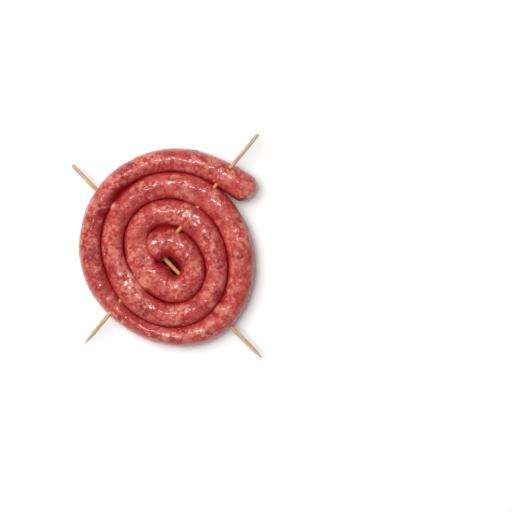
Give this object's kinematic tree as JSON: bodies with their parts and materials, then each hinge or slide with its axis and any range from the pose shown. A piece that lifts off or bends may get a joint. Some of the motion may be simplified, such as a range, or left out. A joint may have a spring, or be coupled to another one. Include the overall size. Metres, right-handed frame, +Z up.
{
  "type": "skewered sausage coil",
  "caption": "Raw fresh sausage, one long thin casing wound flat into a coil and held together by crossed bamboo skewers for grilling.",
  "frame": {"origin": "bottom centre of the whole part's box, on the surface that the coil lies on", "axes": "+Z up, +Y along the longest side, +X towards the side where the sausage's outer end points"},
  "size_m": [0.1415, 0.1662, 0.0178],
  "materials": {
    "sausage_meat": "glossy, wet",
    "bamboo": "satin"
  },
  "bodies": {
    "root": {"sausage_coil": "sausage_meat", "skewer_lower": "bamboo", "skewer_upper": "bamboo"}
  },
  "joints": []
}
